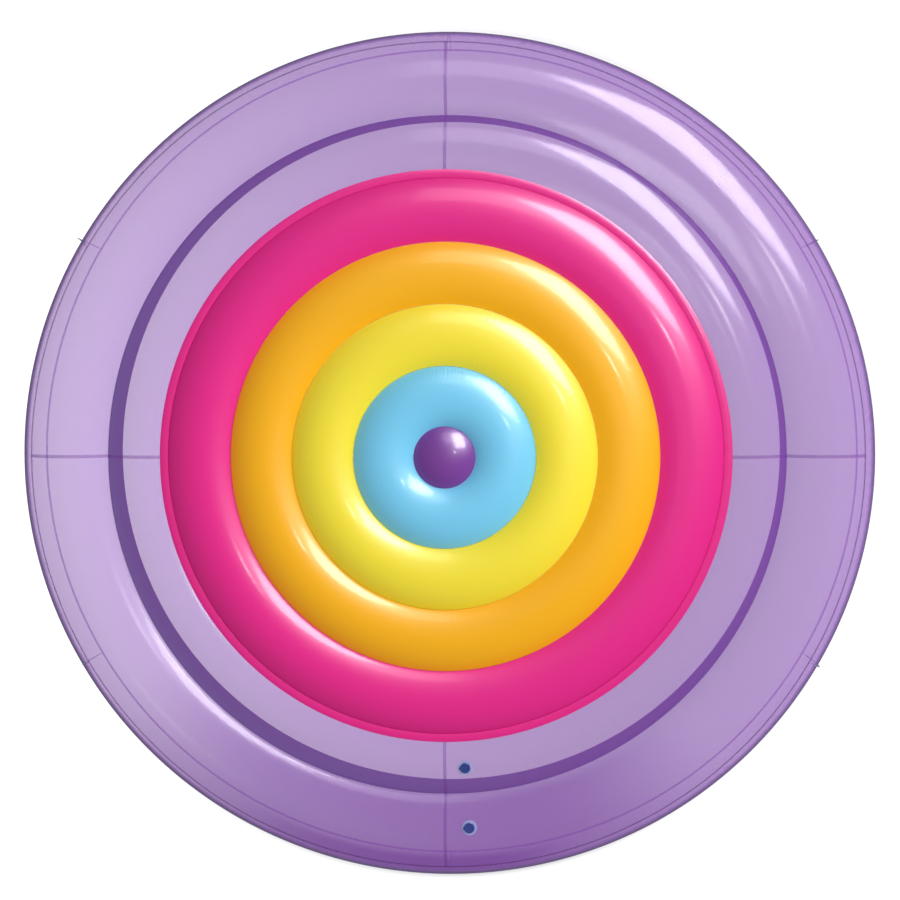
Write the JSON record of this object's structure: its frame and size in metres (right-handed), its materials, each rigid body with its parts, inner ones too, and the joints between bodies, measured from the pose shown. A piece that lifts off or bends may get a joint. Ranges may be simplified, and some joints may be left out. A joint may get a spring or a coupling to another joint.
{
  "type": "inflatable island float",
  "caption": "Round inflatable swimming float with a thick outer tube, a raised middle of puffed coloured rings, and push-in valves with hinged caps.",
  "frame": {"origin": "on the ground, under the middle of the float", "axes": "+Z up; +X to the right and +Y up in the picture, so the valves are at the -Y side"},
  "size_m": [1.83, 1.83, 0.2245],
  "materials": {
    "purple_film": "glossy translucent film",
    "pink_vinyl": "glossy film",
    "orange_vinyl": "glossy film",
    "yellow_vinyl": "glossy film",
    "blue_vinyl": "glossy film",
    "violet_vinyl": "glossy film",
    "clear_vinyl": "glossy, soft, translucent",
    "navy_vinyl": "glossy, soft"
  },
  "bodies": {
    "float": {"top_panel_north_east": "purple_film", "top_panel_north_west": "purple_film", "top_panel_south_west": "purple_film", "top_panel_south_east": "purple_film", "bottom_panel_north_east": "purple_film", "bottom_panel_north_west": "purple_film", "bottom_panel_south_west": "purple_film", "bottom_panel_south_east": "purple_film", "side_band_1": "purple_film", "side_band_2": "purple_film", "side_band_3": "purple_film", "side_band_4": "purple_film", "side_band_5": "purple_film", "side_band_6": "purple_film", "chamber_wall": "purple_film", "centre_button": "violet_vinyl", "blue_ring": "blue_vinyl", "yellow_ring": "yellow_vinyl", "orange_ring": "orange_vinyl", "pink_ring": "pink_vinyl", "floor_sheet": "purple_film", "button_baffle": "purple_film", "blue_baffle": "purple_film", "yellow_baffle": "purple_film", "orange_baffle": "purple_film", "pink_baffle": "purple_film", "inner_valve_base": "clear_vinyl", "outer_valve_base": "clear_vinyl"},
    "inner_neck": {"inner_valve_neck": "clear_vinyl"},
    "inner_cap": {"inner_valve_cap": "navy_vinyl"},
    "inner_flap": {"inner_valve_flap": "clear_vinyl"},
    "outer_neck": {"outer_valve_neck": "clear_vinyl"},
    "outer_cap": {"outer_valve_cap": "navy_vinyl"},
    "outer_flap": {"outer_valve_flap": "clear_vinyl"}
  },
  "joints": [
    {"name": "inner_neck_slide", "type": "slide", "parent": "float", "child": "inner_neck", "axis": [0.0092, -0.1403, 0.9901], "range_m": [0, 0.015]},
    {"name": "inner_cap_hinge", "type": "hinge", "parent": "inner_neck", "child": "inner_cap", "pos_m": [0.02675, -0.66407, 0.21019], "axis": [0.0648, -0.9879, -0.1406], "range_deg": [0, 150]},
    {"name": "inner_flap_hinge", "type": "hinge", "parent": "inner_neck", "child": "inner_flap", "pos_m": [0.03244, -0.66059, 0.18836], "axis": [-0.0648, 0.9879, 0.1406], "range_deg": [0, 60], "stiffness_Nm_per_rad": 0.00005, "springref_deg": -28.65},
    {"name": "outer_neck_slide", "type": "slide", "parent": "float", "child": "outer_neck", "axis": [-0.0042, 0.0637, 0.998], "range_m": [0, 0.015]},
    {"name": "outer_cap_hinge", "type": "hinge", "parent": "outer_neck", "child": "outer_cap", "pos_m": [0.03571, -0.79016, 0.21344], "axis": [0.0653, -0.9958, 0.0639], "range_deg": [0, 150]},
    {"name": "outer_flap_hinge", "type": "hinge", "parent": "outer_neck", "child": "outer_flap", "pos_m": [0.04169, -0.79118, 0.19143], "axis": [-0.0653, 0.9958, -0.0639], "range_deg": [0, 60], "stiffness_Nm_per_rad": 0.00005, "springref_deg": -28.65}
  ]
}
